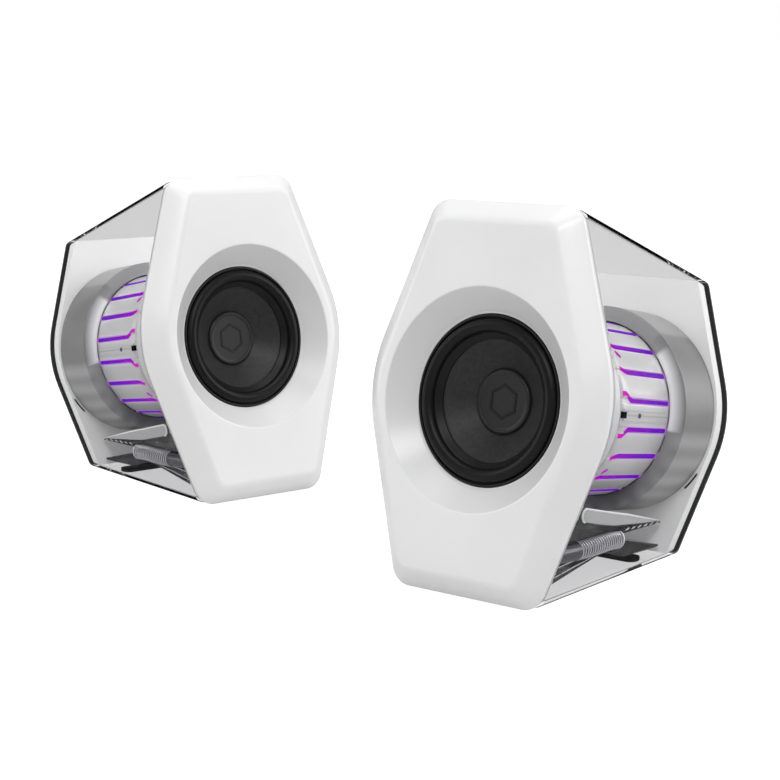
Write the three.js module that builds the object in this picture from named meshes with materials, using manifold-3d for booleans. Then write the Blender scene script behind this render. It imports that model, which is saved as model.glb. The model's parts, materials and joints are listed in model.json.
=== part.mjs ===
// A pair of desktop speakers. Each one is a hexagonal body that tapers to the rear: a white
// front baffle with a dished driver opening, a clear shell, and a drum with a light guide
// that runs from the baffle to the rear panel.
// Millimetres, +Z up. The right speaker holds the amplifier and the controls.
//
// Each speaker is drawn in an axis frame: x to the right, y along the driver's axis to the
// rear, z up, with the origin in the middle of the baffle's widest outline.
import * as THREE from 'three';
import { mergeVertices } from 'three/addons/utils/BufferGeometryUtils.js';
import Module from 'manifold-3d';

const wasm = await Module();
wasm.setup();

// ---- driving dimensions ----
const FRONT = { halfTop: 29.2, halfMid: 51.3, halfHeight: 65.5, rise: 2.0 };
const BODY_DEPTH = 95;
const LEAN = THREE.MathUtils.degToRad(9.6);
const REAR = {
  halfTop: 24.2,
  halfMid: 40.2,
  halfHeight: FRONT.halfHeight - BODY_DEPTH * Math.tan(LEAN),
  rise: 0.3,
};
const FACE = { halfTop: 23.5, halfMid: 42.6, halfHeight: 58.8, rise: 2.0 };
const FACE_FORWARD = 6.6;
const EDGE_CORNER = 8;
const EDGE_MID = 50;
const FACE_CORNER = 4.5;
const FACE_MID = 32;
const REAR_CORNER = 3;
const REAR_MID = 43;

const GAP = 0.3;
const BAFFLE_WALL = 3.4;
const BAFFLE_BACK = 2.5;
const SEAL = 0.6;
const SHELL_INSET = 0.6;
const SHELL_WALL = 1.8;
const SHELL_LIP = 2.1;

const DISH_RADIUS = 37.1;
const DRIVER_HOLE = 28.7;
const DISH_FLOOR = 0.9;
const SEAT_RADIUS = 39.5;
const SEAT_BACK = 2.3;
const FLANGE_RADIUS = 34.9;
const CONE_RADIUS = 21;
const CONE_SET = 1.6;
const ROLL_INNER = 22.6;
const ROLL_OUTER = 27.3;
const COIL_RADIUS = 9.9;
const CAP_RADIUS = 11;

const DRUM_RADIUS = 31.3;
const DRUM_FRONT = 33;
const GUIDE_INNER = 28;
const GUIDE_BACK = 69.2;
const CHAMBER_NECK = 27.6;
const CHAMBER_BACK = 72;
const FLUTES = 20;
const GUIDE_TAPER = { front: 1.006, rear: 0.972 };
const RING_MOUTH = 31.1;
const RING_RADIUS = 36.4;
const RING_FRONT = 64.6;
const RING_SHOULDER = 66.4;
const PANEL_FRONT = 87;
const PANEL_BACK = 94.6;

const FOOT_HEIGHT = 1.2;
const FAIRING_FRONT = { depth: 9, half: 24 };
const FAIRING_REAR = { depth: 85.5, half: 20.5 };
const CONDUIT_RADIUS = 3.2;
const KNOB_RADIUS = 9;
const SHAFT_RADIUS = 2.6;

const TOE_IN = THREE.MathUtils.degToRad(39.5);
const RIGHT_PLACE = new THREE.Vector2(38.1, -77.3);
const LEFT_PLACE = new THREE.Vector2(-38.1, 77.3);

const ROUND = 24;
const INNER_ROUND = 16;

// ---- solids and meshes ----
// Shared vertices, no slivers, and faces that point out.
function closed(geometry) {
  geometry.deleteAttribute('normal');
  geometry.deleteAttribute('uv');
  const merged = mergeVertices(geometry, 1e-3);
  const place = merged.getAttribute('position');
  const corner = (i) => new THREE.Vector3().fromBufferAttribute(place, i);
  const kept = [];
  let volume = 0;
  for (let i = 0; i < merged.index.count; i += 3) {
    const face = [0, 1, 2].map((k) => merged.index.getX(i + k));
    if (new Set(face).size < 3) continue;
    kept.push(face);
    const [a, b, c] = face.map(corner);
    volume += a.dot(b.cross(c));
  }
  merged.setIndex(kept.flatMap((face) => (volume < 0 ? [face[0], face[2], face[1]] : face)));
  return merged;
}

function toSolid(geometry) {
  const tidy = closed(geometry);
  return new wasm.Manifold(new wasm.Mesh({
    numProp: 3,
    vertProperties: new Float32Array(tidy.getAttribute('position').array),
    triVerts: new Uint32Array(tidy.index.array),
  }));
}

function toGeometry(solid) {
  const mesh = solid.getMesh();
  const geometry = new THREE.BufferGeometry();
  geometry.setAttribute('position', new THREE.BufferAttribute(mesh.vertProperties, 3));
  geometry.setIndex(new THREE.BufferAttribute(mesh.triVerts, 1));
  return geometry;
}

// A body turned about the driver's axis, from [radius, depth] corners.
function turned(corners, segments = ROUND) {
  const onAxis = corners[0][0] === 0 && corners.at(-1)[0] === 0;
  const path = onAxis ? corners : [...corners, corners[0]];
  const points = path.map(([radius, depth]) => new THREE.Vector2(radius, depth));
  return closed(new THREE.LatheGeometry(points, segments));
}

const disc = (radius, near, far, segments = ROUND) =>
  turned([[0, near], [radius, near], [radius, far], [0, far]], segments);

const ring = (inner, outer, near, far, segments = ROUND) =>
  turned([[inner, near], [outer, near], [outer, far], [inner, far]], segments);

const box = (width, depth, height, x, y, z) =>
  closed(new THREE.BoxGeometry(width, depth, height).translate(x, y, z));

// A prism with its outline in x and z, from depth near to depth far.
const prism = (outline, near, far) =>
  loft([near, far].map((depth) => outline.map((p) => new THREE.Vector3(p.x, depth, p.y))));

// A closed body through rings that all have the same number of points, from front to rear.
function loft(rings) {
  const flat = rings[0].map((point) => new THREE.Vector2(point.x, point.z));
  const turnBack = THREE.ShapeUtils.isClockWise(flat);
  const ordered = turnBack ? rings.map((points) => [...points].reverse()) : rings;
  const count = flat.length;
  const last = (rings.length - 1) * count;
  const faces = [];
  for (let start = 0; start < last; start += count) {
    for (let i = 0; i < count; i += 1) {
      const a = start + i;
      const b = start + ((i + 1) % count);
      faces.push([a, b + count, b], [a, a + count, b + count]);
    }
  }
  for (const [a, b, c] of THREE.ShapeUtils.triangulateShape(turnBack ? flat.reverse() : flat, [])) {
    faces.push([a, b, c], [c + last, b + last, a + last]);
  }
  const geometry = new THREE.BufferGeometry();
  const places = ordered.flat().flatMap((point) => point.toArray());
  geometry.setAttribute('position', new THREE.Float32BufferAttribute(places, 3));
  geometry.setIndex(faces.flat());
  return closed(geometry);
}

// ---- outlines ----
// Moves each edge of a convex outline in by a distance.
function moveIn(corners, distance) {
  const centreward = (a, b) => {
    const along = b.clone().sub(a).normalize();
    const inward = new THREE.Vector2(-along.y, along.x);
    return inward.dot(a) > 0 ? inward.negate() : inward;
  };
  return corners.map((corner, i) => {
    const before = corners.at(i - 1);
    const after = corners[(i + 1) % corners.length];
    const m = centreward(before, corner);
    const n = centreward(corner, after);
    const share = distance / (1 + m.dot(n));
    return corner.clone().addScaledVector(m, share).addScaledVector(n, share);
  });
}

// Rounds each corner of an outline with an arc of its own radius.
function rounded(corners, radii, steps) {
  return corners.flatMap((corner, i) => {
    const back = corners.at(i - 1).clone().sub(corner).normalize();
    const on = corners[(i + 1) % corners.length].clone().sub(corner).normalize();
    const half = back.angleTo(on) / 2;
    const centre = corner.clone().addScaledVector(
      back.clone().add(on).normalize(),
      radii[i] / Math.sin(half),
    );
    const start = corner.clone().addScaledVector(back, radii[i] / Math.tan(half)).sub(centre);
    const end = corner.clone().addScaledVector(on, radii[i] / Math.tan(half)).sub(centre);
    const sweep = Math.atan2(start.cross(end), start.dot(end));
    return Array.from({ length: steps + 1 }, (_, k) =>
      start.clone().rotateAround(new THREE.Vector2(), (sweep * k) / steps).add(centre));
  });
}

function hexCorners({ halfTop, halfMid, halfHeight, rise }) {
  return [
    [halfTop, halfHeight], [halfMid, rise], [halfTop, -halfHeight],
    [-halfTop, -halfHeight], [-halfMid, rise], [-halfTop, halfHeight],
  ].map(([x, z]) => new THREE.Vector2(x, z));
}

const mixed = (a, b, t) => THREE.MathUtils.lerp(a, b, t);

// The hexagon of the tapered body at a depth, moved in by a distance.
function bodyRing(depth, inset) {
  const t = depth / BODY_DEPTH;
  const size = Object.fromEntries(
    Object.keys(FRONT).map((key) => [key, mixed(FRONT[key], REAR[key], t)]),
  );
  const corner = Math.max(mixed(EDGE_CORNER, REAR_CORNER, t) - inset, 1.5);
  const mid = mixed(EDGE_MID, REAR_MID, t) - inset;
  const outline = rounded(moveIn(hexCorners(size), inset), [corner, mid, corner, corner, mid, corner], 2);
  return outline.map((point) => new THREE.Vector3(point.x, depth, point.y));
}

function faceRing(depth, inset) {
  const corner = Math.max(FACE_CORNER - inset, 1.5);
  const mid = FACE_MID - inset;
  const outline = rounded(moveIn(hexCorners(FACE), inset), [corner, mid, corner, corner, mid, corner], 2);
  return outline.map((point) => new THREE.Vector3(point.x, depth, point.y));
}

const bodyLoft = (stations) => loft(stations.map(([depth, inset]) => bodyRing(depth, inset)));

const circle = (radius, segments, x = 0, z = 0) =>
  Array.from({ length: segments }, (_, i) => {
    const angle = (i / segments) * Math.PI * 2;
    return new THREE.Vector2(x + radius * Math.cos(angle), z + radius * Math.sin(angle));
  });

// ---- enclosure ----
function frontBaffle() {
  const skin = toSolid(loft([
    faceRing(-FACE_FORWARD, 0), bodyRing(0, 0), bodyRing(BAFFLE_BACK, SHELL_INSET),
  ]));
  const cavity = toSolid(loft([
    faceRing(BAFFLE_WALL - FACE_FORWARD, BAFFLE_WALL),
    bodyRing(1, BAFFLE_WALL),
    bodyRing(BAFFLE_BACK + 1, BAFFLE_WALL),
  ]));
  const seat = toSolid(disc(SEAT_RADIUS, -FACE_FORWARD + 1, SEAT_BACK, ROUND + 8));
  const slope = (DISH_RADIUS - DRIVER_HOLE) / (FACE_FORWARD + DISH_FLOOR);
  const dish = toSolid(turned([
    [0, -FACE_FORWARD - 1], [DISH_RADIUS + slope, -FACE_FORWARD - 1],
    [DRIVER_HOLE, DISH_FLOOR], [DRIVER_HOLE, SEAT_BACK + 1], [0, SEAT_BACK + 1],
  ], ROUND + 8));
  return toGeometry(skin.subtract(cavity).add(seat).subtract(dish));
}

function shellSeal() {
  const near = BAFFLE_BACK + GAP;
  const outer = toSolid(bodyLoft([[near, SHELL_INSET + 0.5], [near + SEAL, SHELL_INSET + 0.5]]));
  const inner = toSolid(bodyLoft([[near - 1, SHELL_INSET + 2.4], [near + SEAL + 1, SHELL_INSET + 2.4]]));
  return toGeometry(outer.subtract(inner));
}

function clearShell() {
  const near = BAFFLE_BACK + SEAL + 2 * GAP;
  const wall = SHELL_INSET + SHELL_WALL;
  const outer = toSolid(bodyLoft([
    [near, SHELL_INSET], [88, SHELL_INSET], [91.5, SHELL_INSET + 0.8],
    [94, SHELL_INSET + 2.4], [BODY_DEPTH, wall + 0.9],
  ]));
  const inner = toSolid(bodyLoft([[near - 1, wall], [PANEL_FRONT + 5, wall]]));
  const opening = toSolid(bodyLoft([[80, wall + SHELL_LIP], [BODY_DEPTH + 1, wall + SHELL_LIP]]));
  return toGeometry(outer.subtract(inner).subtract(opening));
}

// ---- rear panel and what passes through it ----
const PORTS = {
  knob: { x: 0, z: 12, radius: 4 },
  light: { x: -20, z: 12, radius: 3.2 },
  source: { x: 20, z: 12, radius: 3.2 },
  power: { x: -21, z: -11, radius: 5.2 },
  aux: { x: -7.5, z: -11, radius: 3.6 },
  usb: { x: 6.5, z: -11, width: 14.4, height: 7.2 },
  link: { x: 21, z: -11, radius: 5.2 },
};

function rearPanel(holes) {
  const step = PANEL_FRONT + 4.7;
  const seated = SHELL_INSET + SHELL_WALL + GAP;
  let panel = toSolid(bodyLoft([[PANEL_FRONT, seated], [step, seated]]));
  panel = panel.add(toSolid(bodyLoft([
    [step - 1, seated + SHELL_LIP], [PANEL_BACK - 0.6, seated + SHELL_LIP],
    [PANEL_BACK, seated + SHELL_LIP + 0.6],
  ])));
  panel = panel.subtract(toSolid(disc(32.6, PANEL_FRONT - 1, PANEL_BACK - 3, ROUND)));
  for (const hole of holes) {
    const cutter = hole.radius
      ? prism(circle(hole.radius, 16, hole.x, hole.z), 85, 100)
      : box(hole.width, 15, hole.height, hole.x, 92, hole.z);
    panel = panel.subtract(toSolid(cutter));
  }
  return toGeometry(panel);
}

// A socket: a barrel through the panel with a blind hole at its rear end.
function roundSocket(port, bore, near) {
  const body = toSolid(prism(circle(port.radius - GAP, 20, port.x, port.z), near, PANEL_BACK + 0.3));
  const hole = toSolid(prism(circle(bore, 16, port.x, port.z), near + 4, PANEL_BACK + 2));
  return toGeometry(body.subtract(hole));
}

function powerInlet() {
  const socket = toSolid(roundSocket(PORTS.power, 2.9, 82));
  const pin = toSolid(prism(circle(0.9, 10, PORTS.power.x, PORTS.power.z), 84, 93.5));
  return toGeometry(socket.add(pin));
}

function usbPort() {
  const { x, z, width, height } = PORTS.usb;
  const body = toSolid(box(width - 2 * GAP, 12.6, height - 2 * GAP, x, 88.3, z));
  const mouth = toSolid(box(12, 10, 4.6, x, 91, z));
  const tongue = toSolid(box(11, 8.4, 1.8, x, 89.4, z + 0.8));
  return toGeometry(body.subtract(mouth).add(tongue));
}

function pushButton(port) {
  const stem = toSolid(prism(circle(port.radius - GAP, 20, port.x, port.z), 90.6, PANEL_BACK + 1.1));
  const collar = toSolid(prism(circle(port.radius + 0.8, 20, port.x, port.z), 89.6, 90.9));
  return toGeometry(stem.add(collar));
}

function volumeEncoder() {
  const { x, z, radius } = PORTS.knob;
  const body = toSolid(box(12, 6.5, 13, x, 85.2, z));
  const bush = toSolid(prism(circle(radius - GAP, 16, x, z), 88, 94));
  const bore = toSolid(prism(circle(SHAFT_RADIUS + GAP, 12, x, z), 86.5, 95));
  return toGeometry(body.add(bush).subtract(bore));
}

const volumeShaft = () => prism(circle(SHAFT_RADIUS, 12, PORTS.knob.x, PORTS.knob.z), 87, 101);

function volumeKnob() {
  const { x, z } = PORTS.knob;
  const grip = Array.from({ length: 36 }, (_, i) => {
    const angle = (i / 36) * Math.PI * 2;
    const reach = KNOB_RADIUS - (i % 2) * 0.35;
    return new THREE.Vector2(x + reach * Math.cos(angle), z + reach * Math.sin(angle));
  });
  const skirt = toSolid(prism(grip, PANEL_BACK + 0.6, 105.5));
  const crown = toSolid(prism(circle(KNOB_RADIUS - 0.9, 24, x, z), 105, 106.4));
  const bore = toSolid(prism(circle(SHAFT_RADIUS + GAP, 12, x, z), 90, 101.3));
  return toGeometry(skirt.add(crown).subtract(bore));
}

// The board carries the switch that each button presses.
function mainBoard() {
  const corners = [[-25, 20], [25, 20], [25, -17], [17, -26], [-17, -26], [-25, -17]];
  let board = toSolid(prism(corners.map(([x, z]) => new THREE.Vector2(x, z)), 79.6, 81.2));
  for (const { x, z } of [PORTS.light, PORTS.source]) {
    board = board.add(toSolid(box(6, 4.4, 6, x, 83, z)));
    board = board.add(toSolid(prism(circle(1.7, 10, x, z), 85, 88.2)));
  }
  return toGeometry(board);
}

function heatSink() {
  let sink = toSolid(box(30, 2, 24, 0, 78.3, -4));
  for (let fin = -14; fin <= 14; fin += 4) {
    sink = sink.add(toSolid(box(1.4, 4.6, 24, fin, 75.3, -4)));
  }
  return toGeometry(sink);
}

// ---- driver ----
const trimRing = () => ring(ROLL_OUTER + 0.5, DRIVER_HOLE - GAP, 0.7, 1.3, INNER_ROUND + 8);

function driverBasket() {
  return turned([
    [ROLL_OUTER - 0.6, 2.6], [FLANGE_RADIUS, 2.6], [FLANGE_RADIUS, 4.1], [28.6, 4.1],
    [26, 13.4], [26, 15], [21, 20.6], [11.2, 20.6], [11.2, 19.4], [20.4, 19.4],
    [24.4, 14.6], [24.4, 13], [26.7, 4.3],
  ], INNER_ROUND);
}

// The rubber roll: an outer flat, a half roll that stands forward, and a flange that slopes
// back to the cone.
function surround() {
  const middle = (ROLL_OUTER + ROLL_INNER) / 2;
  const reach = ROLL_OUTER - middle;
  const arc = (radius, steps) => Array.from({ length: steps + 1 }, (_, i) => {
    const angle = (i / steps) * Math.PI;
    return [middle + radius * Math.cos(angle), 1.8 - radius * Math.sin(angle)];
  });
  const front = arc(reach, 4);
  const back = arc(reach - 0.5, 4).reverse();
  return turned([
    [28.4, 1.6], ...front, [CONE_RADIUS - 0.5, 3.5], [CONE_RADIUS - 0.5, 4.1], ...back, [28.4, 2.3],
  ]);
}

const cone = () => turned([
  [CONE_RADIUS + 0.1, 2.5], [COIL_RADIUS + 0.7, 9.9], [COIL_RADIUS - 0.1, 10.2],
  [COIL_RADIUS - 0.1, 11], [COIL_RADIUS + 0.9, 10.7], [CONE_RADIUS + 0.1, 3.3],
]).translate(0, CONE_SET, 0);

const dustCap = () => turned([
  [0, 8], [CAP_RADIUS - 1.6, 8.2], [CAP_RADIUS - 0.9, 7.5], [CAP_RADIUS, 8],
  [CAP_RADIUS - 0.4, 9], [CAP_RADIUS - 1.4, 9.6], [0, 9],
]).translate(0, CONE_SET, 0);

function spider() {
  const waves = Array.from({ length: 7 }, (_, i) => [
    COIL_RADIUS + 0.6 + (i / 6) * 13.2,
    14 + 0.7 * Math.sin((i * Math.PI) / 2),
  ]);
  const back = waves.map(([radius, depth]) => [radius, depth + 0.4]).reverse();
  return turned([...waves, ...back], INNER_ROUND);
}

const voiceCoil = () => ring(COIL_RADIUS - 0.3, COIL_RADIUS + 0.3, 11.3 + CONE_SET, 25, INNER_ROUND);
const topPlate = () => ring(COIL_RADIUS + 1, 22, 21, 24, INNER_ROUND);
const magnet = () => ring(12.5, 24, 24.3, 32, INNER_ROUND);

const yoke = () => turned([
  [0, 20.5], [COIL_RADIUS - 0.9, 20.5], [COIL_RADIUS - 0.9, 32.3], [22, 32.3], [22, 35], [0, 35.4],
], INNER_ROUND);

// ---- drum ----
const acousticChamber = () => turned([
  [29.3, 4.4], [SEAT_RADIUS - 1, 4.4], [SEAT_RADIUS - 1, 6.4], [DRUM_RADIUS, 6.4],
  [DRUM_RADIUS, DRUM_FRONT], [CHAMBER_NECK, DRUM_FRONT], [CHAMBER_NECK, CHAMBER_BACK],
  [0, CHAMBER_BACK], [0, CHAMBER_BACK - 2], [CHAMBER_NECK - 2, CHAMBER_BACK - 2],
  [CHAMBER_NECK - 2, DRUM_FRONT - 2], [29.3, DRUM_FRONT - 4],
]);

// A sleeve that tapers slightly to the rear, with a shallow groove for each light bar.
function lightGuide() {
  const outline = Array.from({ length: FLUTES }, (_, i) => {
    const middle = ((i + 0.5) / FLUTES) * Math.PI * 2;
    const pitch = (Math.PI * 2) / FLUTES;
    const marks = [[-0.12, -0.5], [0.12, -0.5], [0.2, 0], [0.5, 0], [0.8, 0]];
    return marks.map(([share, out]) => {
      const angle = middle + share * pitch;
      return new THREE.Vector2(Math.cos(angle), Math.sin(angle)).multiplyScalar(DRUM_RADIUS + out);
    });
  }).flat();
  const sleeve = prism(outline, DRUM_FRONT + GAP, GUIDE_BACK);
  const place = sleeve.getAttribute('position');
  for (let i = 0; i < place.count; i++) {
    const share = (place.getY(i) - DRUM_FRONT) / (GUIDE_BACK - DRUM_FRONT);
    const scale = mixed(GUIDE_TAPER.front, GUIDE_TAPER.rear, share);
    place.setXYZ(i, place.getX(i) * scale, place.getY(i), place.getZ(i) * scale);
  }
  return toGeometry(toSolid(sleeve).subtract(toSolid(disc(GUIDE_INNER, 30, 75))));
}

const ledBoard = () => ring(GUIDE_INNER + 0.2, 33.4, GUIDE_BACK + GAP, GUIDE_BACK + 1.5, INNER_ROUND);

const reflectorRing = () => turned([
  [RING_MOUTH, RING_FRONT], [RING_RADIUS, RING_SHOULDER],
  [RING_RADIUS - 0.4, PANEL_FRONT - GAP], [33.8, PANEL_FRONT - GAP],
  [33.8, RING_SHOULDER + 2.4], [RING_MOUTH, RING_FRONT + 3],
], ROUND + 8);

// ---- lower fairing and the harness beside it ----
// Side view of the swallow-tail fairing, as [depth, z]: two leaves that meet at a waist.
const FAIRING_SIDE = [
  [FAIRING_FRONT.depth, -31.3], [84.5, -37.2], [FAIRING_REAR.depth, -38], [61, -42.6],
  [61, -44.4], [FAIRING_REAR.depth, -45.8], [84.5, -46.8], [62, -49.6], [47, -47.8],
  [FAIRING_FRONT.depth, -59.6],
];

// The harness runs back in the fairing's side and comes out between the two leaves.
function harnessTube(side, radius) {
  const beside = FAIRING_FRONT.half - 3;
  const stops = [
    [beside, 10, -49.2], [beside, 26, -47.3], [beside - 0.4, 40, -45.5],
    [beside - 1.2, 50, -44.1], [beside - 2, 57.5, -43.5],
  ];
  const route = new THREE.CatmullRomCurve3(stops.map(([x, y, z]) => new THREE.Vector3(side * x, y, z)));
  const section = new THREE.Shape(circle(radius, 8));
  return closed(new THREE.ExtrudeGeometry(section, { steps: 14, bevelEnabled: false, extrudePath: route }));
}

function cableFairing(side) {
  const outline = FAIRING_SIDE.map(([depth, z]) => new THREE.Vector2(depth, z)).reverse();
  const block = new THREE.ExtrudeGeometry(new THREE.Shape(outline), { depth: 2, bevelEnabled: false });
  block.translate(0, 0, -1);
  const place = block.getAttribute('position');
  for (let i = 0; i < place.count; i++) {
    const share = (place.getX(i) - FAIRING_FRONT.depth) / (FAIRING_REAR.depth - FAIRING_FRONT.depth);
    place.setZ(i, place.getZ(i) * mixed(FAIRING_FRONT.half, FAIRING_REAR.half, share));
  }
  const across = new THREE.Matrix4().makeBasis(
    new THREE.Vector3(0, 1, 0), new THREE.Vector3(0, 0, 1), new THREE.Vector3(1, 0, 0),
  );
  return toGeometry(
    toSolid(block.applyMatrix4(across))
      .subtract(toSolid(disc(DRUM_RADIUS + 1.2, 0, RING_FRONT)))
      .subtract(toSolid(disc(RING_RADIUS + 0.6, RING_FRONT - 1, PANEL_FRONT)))
      .subtract(toSolid(harnessTube(side, CONDUIT_RADIUS + GAP))),
  );
}

const harnessConduit = (side) => harnessTube(side, CONDUIT_RADIUS);

// ---- feet: drawn upright, under the flat underside ----
function foot(halfWidth, middle) {
  const outline = rounded(
    [[halfWidth, 3.5], [halfWidth, -3.5], [-halfWidth, -3.5], [-halfWidth, 3.5]]
      .map(([x, y]) => new THREE.Vector2(x, y)),
    [3.2, 3.2, 3.2, 3.2],
    4,
  );
  const top = FOOT_HEIGHT + SHELL_INSET - GAP;
  const geometry = prism(outline, 0, top);
  return geometry.rotateX(Math.PI / 2).translate(0, middle, 0);
}

// ---- materials ----
const plastic = (color, roughness = 0.4) => ({ color, roughness, metalness: 0 });
const metal = (color, roughness = 0.35) => ({ color, roughness, metalness: 1 });
const FINISH = {
  white: plastic(0xf4f4f5, 0.32),
  pale: plastic(0xe3e3e4, 0.45),
  clear: plastic(0xdde2e4, 0.05),
  smoke: plastic(0x8f9094, 0.08),
  silver: metal(0xb9babd, 0.28),
  rubber: plastic(0x26262a, 0.7),
  cone: plastic(0x3a3a3d, 0.55),
  cap: plastic(0x303033, 0.5),
  steel: metal(0x9a9ca0, 0.4),
  ferrite: plastic(0x2b2b2d, 0.8),
  copper: metal(0xb87343, 0.4),
  cloth: plastic(0xb58f4e, 0.9),
  glow: plastic(0xd9d4ea, 0.3),
  board: plastic(0x1f5a3a, 0.6),
  black: plastic(0x1b1b1d, 0.4),
  aluminium: metal(0xc2c4c6, 0.4),
};

function piece(name, geometry, finish) {
  const mesh = new THREE.Mesh(geometry, new THREE.MeshStandardMaterial(FINISH[finish]));
  mesh.name = name;
  return mesh;
}

// ---- assembly ----
function commonPieces(prefix, side, holes) {
  const table = [
    ['front_baffle', frontBaffle(), 'white'],
    ['shell_seal', shellSeal(), 'rubber'],
    ['clear_shell', clearShell(), 'clear'],
    ['rear_panel', rearPanel(holes), 'white'],
    ['driver_trim_ring', trimRing(), 'black'],
    ['driver_basket', driverBasket(), 'steel'],
    ['surround', surround(), 'rubber'],
    ['cone', cone(), 'cone'],
    ['dust_cap', dustCap(), 'cap'],
    ['spider', spider(), 'cloth'],
    ['voice_coil', voiceCoil(), 'copper'],
    ['top_plate', topPlate(), 'steel'],
    ['magnet', magnet(), 'ferrite'],
    ['yoke', yoke(), 'steel'],
    ['acoustic_chamber', acousticChamber(), 'pale'],
    ['light_guide', lightGuide(), 'glow'],
    ['led_board', ledBoard(), 'board'],
    ['reflector_ring', reflectorRing(), 'silver'],
    ['cable_fairing', cableFairing(side), 'smoke'],
    ['harness_conduit', harnessConduit(side), 'silver'],
    ['link_socket', roundSocket(PORTS.link, 2.6, 82), 'black'],
  ];
  return table.map(([name, geometry, finish]) => piece(`${prefix}_${name}`, geometry, finish));
}

function amplifierPieces() {
  return [
    piece('main_board', mainBoard(), 'board'),
    piece('heat_sink', heatSink(), 'aluminium'),
    piece('volume_encoder', volumeEncoder(), 'steel'),
    piece('volume_shaft', volumeShaft(), 'steel'),
    piece('volume_knob', volumeKnob(), 'white'),
    piece('light_button', pushButton(PORTS.light), 'black'),
    piece('source_button', pushButton(PORTS.source), 'black'),
    piece('power_inlet', powerInlet(), 'black'),
    piece('aux_jack', roundSocket(PORTS.aux, 1.8, 82), 'black'),
    piece('usb_port', usbPort(), 'steel'),
  ];
}

function speaker(prefix, side, place, holes, extras) {
  const leaned = new THREE.Group();
  leaned.add(...commonPieces(prefix, side, holes), ...extras);
  leaned.rotation.x = -LEAN;
  leaned.position.set(
    0,
    FRONT.halfHeight * Math.sin(LEAN),
    FRONT.halfHeight * Math.cos(LEAN) + FOOT_HEIGHT,
  );
  const upright = new THREE.Group();
  upright.add(leaned);
  upright.add(piece(`${prefix}_front_foot`, foot(22, 11.5), 'rubber'));
  upright.add(piece(`${prefix}_rear_foot`, foot(17, 82), 'rubber'));
  upright.rotation.z = -side * TOE_IN;
  upright.position.set(place.x, place.y, 0);
  return upright;
}

const pair = new THREE.Group();
pair.add(speaker('right', 1, RIGHT_PLACE, Object.values(PORTS), amplifierPieces()));
pair.add(speaker('left', -1, LEFT_PLACE, [PORTS.link], []));

// The origin is the middle of the pair's footprint, on the desk.
const extent = new THREE.Box3().setFromObject(pair, true);
const middle = extent.getCenter(new THREE.Vector3());
pair.position.set(-middle.x, -middle.y, -extent.min.z);
pair.updateMatrixWorld(true);

export default pair;
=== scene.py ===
"""Looks of a pair of desktop speakers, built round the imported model.

Every speaker's pieces are drawn in its axis frame, in metres: x to the right, y along the
driver's axis to the rear, z up, with the origin in the middle of the baffle's widest outline.
"""
import json
import math

import bmesh
import bpy
import numpy as np
from mathutils import Matrix, Vector


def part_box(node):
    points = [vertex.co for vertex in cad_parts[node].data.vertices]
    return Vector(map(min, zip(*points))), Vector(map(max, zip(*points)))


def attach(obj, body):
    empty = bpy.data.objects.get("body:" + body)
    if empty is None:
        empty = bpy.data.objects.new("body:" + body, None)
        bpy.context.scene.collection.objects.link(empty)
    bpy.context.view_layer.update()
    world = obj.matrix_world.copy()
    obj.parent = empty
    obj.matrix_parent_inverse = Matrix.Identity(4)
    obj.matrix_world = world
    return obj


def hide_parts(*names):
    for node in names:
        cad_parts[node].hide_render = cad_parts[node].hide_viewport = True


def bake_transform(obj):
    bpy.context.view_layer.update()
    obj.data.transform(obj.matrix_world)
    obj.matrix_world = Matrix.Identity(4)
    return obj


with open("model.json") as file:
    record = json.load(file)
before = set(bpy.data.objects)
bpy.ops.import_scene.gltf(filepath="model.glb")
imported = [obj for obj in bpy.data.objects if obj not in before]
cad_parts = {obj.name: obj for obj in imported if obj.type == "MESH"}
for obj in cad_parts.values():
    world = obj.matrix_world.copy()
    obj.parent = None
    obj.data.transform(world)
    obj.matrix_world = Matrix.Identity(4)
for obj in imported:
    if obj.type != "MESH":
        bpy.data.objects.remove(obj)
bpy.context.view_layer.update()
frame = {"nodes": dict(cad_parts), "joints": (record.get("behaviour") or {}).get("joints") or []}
MM = 0.001
SIDES = {"right": 1, "left": -1}

# ---- body ----
BODY_DEPTH = 95 * MM
LEAN = math.radians(9.6)
FRONT = np.array([29.2, 51.3, 65.5, 2.0]) * MM  # half top, half middle, half height, rise
REAR = np.array([24.2, 40.2, 65.5 - 95 * math.tan(LEAN), 0.3]) * MM
FACE = np.array([23.5, 42.6, 58.8, 2.0]) * MM
FACE_FORWARD = 6.6 * MM
BAFFLE_BACK = 2.5 * MM
SHELL_FRONT = 3.7 * MM
SHELL_INSET = 0.6 * MM
SHELL_WALL = 1.2 * MM
SHELL_LIP = 2.1 * MM
SHELL_CORNER = 4.5  # millimetres
PANEL_FRONT = 87 * MM
PANEL_STEP = 91.7 * MM
PANEL_BACK = 94.6 * MM

# ---- driver ----
DISH_RADIUS = 37.1 * MM
DRIVER_HOLE = 28.7 * MM
DISH_FLOOR = 0.9 * MM
TRIM_MIDDLE = 1.0 * MM
ROLL_OUTER = 27.3 * MM
ROLL_INNER = 22.6 * MM
CONE_RADIUS = 21 * MM
CONE_SET = 1.6 * MM
SPIDER_INNER = 16.4 * MM
SPIDER_OUTER = 14.2 * MM

# ---- drum and fairing; a size without MM is in millimetres ----
DRUM_RADIUS = 31.3 * MM
DRUM_FRONT = 33 * MM
SLEEVE_BACK = 69.2 * MM
SLEEVE_TAPER = (1.006, 0.972)
RING_MOUTH = 31.1
RING_RADIUS = 36.4
RING_FRONT = 64.6
RING_SHOULDER = 66.4
BARS = 20
FAIRING_FRONT, FAIRING_REAR = 9.0, 85.5
FAIRING_HALF = (24.0, 20.5)
CONDUIT_RADIUS = 3.5 * MM
FOOT_DEPTH = 7 * MM
FOOT_CORNER = 3.2

ROUND = 128  # points round a turned body
ARC = 8  # steps in a corner of an outline
EDGE = 14  # steps between two corners


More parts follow.
